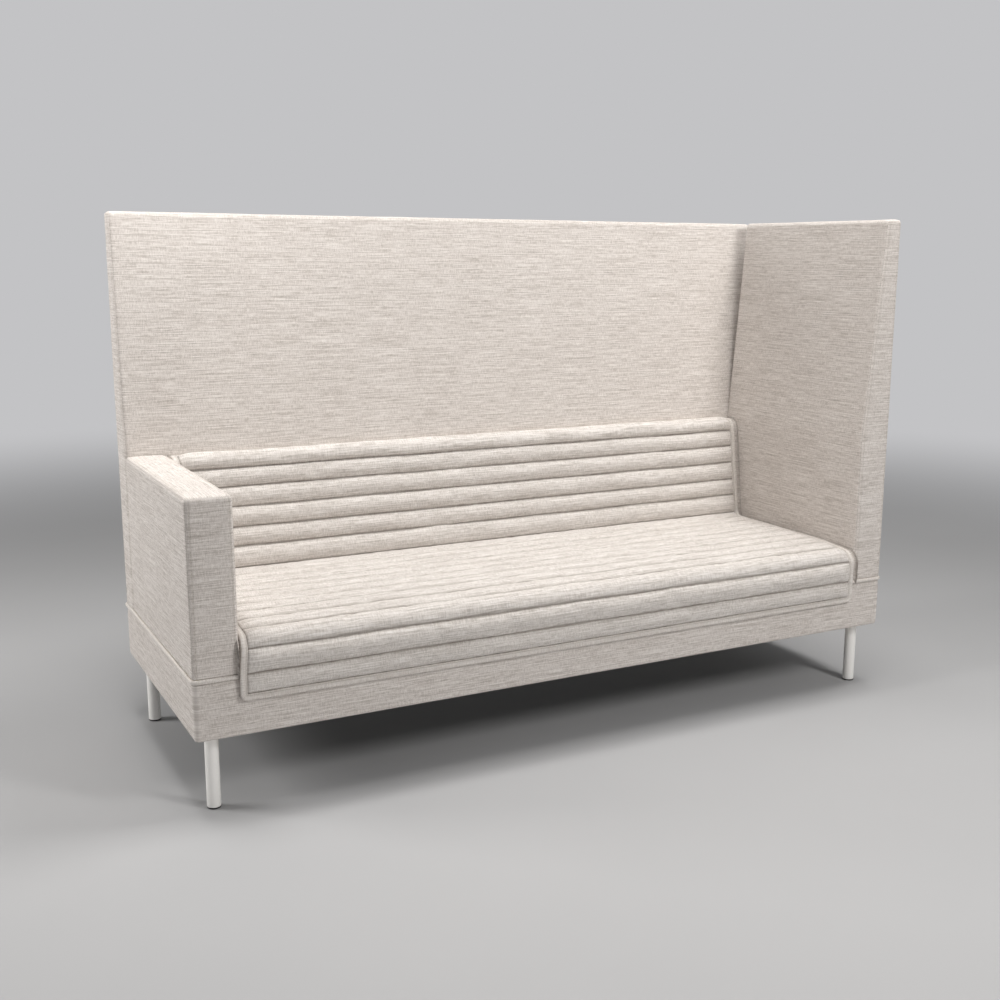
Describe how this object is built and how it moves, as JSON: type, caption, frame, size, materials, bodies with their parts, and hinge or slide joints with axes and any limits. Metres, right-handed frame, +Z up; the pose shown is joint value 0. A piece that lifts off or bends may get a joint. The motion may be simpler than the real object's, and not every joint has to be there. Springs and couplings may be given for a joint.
{
  "type": "high back settee",
  "caption": "High back settee: box base on tube legs, a low arm at one end, a full-height wing at the other, a tall tapered back and a channel-quilted mat over the seat and back cushion.",
  "frame": {"origin": "on the floor, under the middle of the whole settee's bounding box", "axes": "+X along the width towards the full-height wing, +Y towards the back panel (the seat faces -Y), +Z up"},
  "size_m": [2.004, 0.7414, 1.34],
  "materials": {
    "cover_cloth": "matt woven cloth",
    "mat_cloth": "matt slubbed cloth",
    "lining_cloth": "thin nonwoven cloth",
    "tab_cloth": "plain tape",
    "webbing": "woven elastic strap",
    "foam": "open-cell foam",
    "timber": "planed softwood",
    "hardboard": "pressed board",
    "leg_metal": "white powder coat",
    "glide_plastic": "moulded",
    "zinc_steel": "zinc plated"
  },
  "bodies": {
    "settee": {"arm_boards": "hardboard", "arm_bolts": "zinc_steel", "arm_cover": "cover_cloth", "arm_padding": "foam", "arm_posts": "timber", "arm_rails": "timber", "back_boards": "hardboard", "back_bolts": "zinc_steel", "back_cover": "cover_cloth", "back_cushion_cover": "cover_cloth", "back_cushion_foam": "foam", "back_padding": "foam", "back_posts": "timber", "back_rails": "timber", "base_arm_bearer": "timber", "base_back_bearer": "timber", "base_corner_blocks": "timber", "base_cover": "cover_cloth", "base_cross_rails": "timber", "base_front_padding": "foam", "base_front_rail": "timber", "base_left_padding": "foam", "base_left_rail": "timber", "base_rear_padding": "foam", "base_rear_rail": "timber", "base_right_padding": "foam", "base_right_rail": "timber", "base_top_lip": "cover_cloth", "base_wing_bearer": "timber", "dust_cover": "lining_cloth", "label_tab": "tab_cloth", "leg_front_left": "leg_metal", "leg_front_right": "leg_metal", "leg_glides": "glide_plastic", "leg_insert_nuts": "zinc_steel", "leg_rear_left": "leg_metal", "leg_rear_right": "leg_metal", "seat_cover": "cover_cloth", "seat_deck_cloth": "lining_cloth", "seat_foam": "foam", "seat_webbing": "webbing", "tee_nuts": "zinc_steel", "wing_boards": "hardboard", "wing_bolts": "zinc_steel", "wing_cover": "cover_cloth", "wing_padding": "foam", "wing_posts": "timber", "wing_rails": "timber"},
    "mat": {"mat_binding": "mat_cloth", "mat_lining": "lining_cloth", "mat_pad": "mat_cloth"}
  },
  "joints": [
    {"name": "mat_lift", "type": "slide", "parent": "settee", "child": "mat", "axis": [0, 0, 1], "range_m": [0, 0.5]}
  ]
}
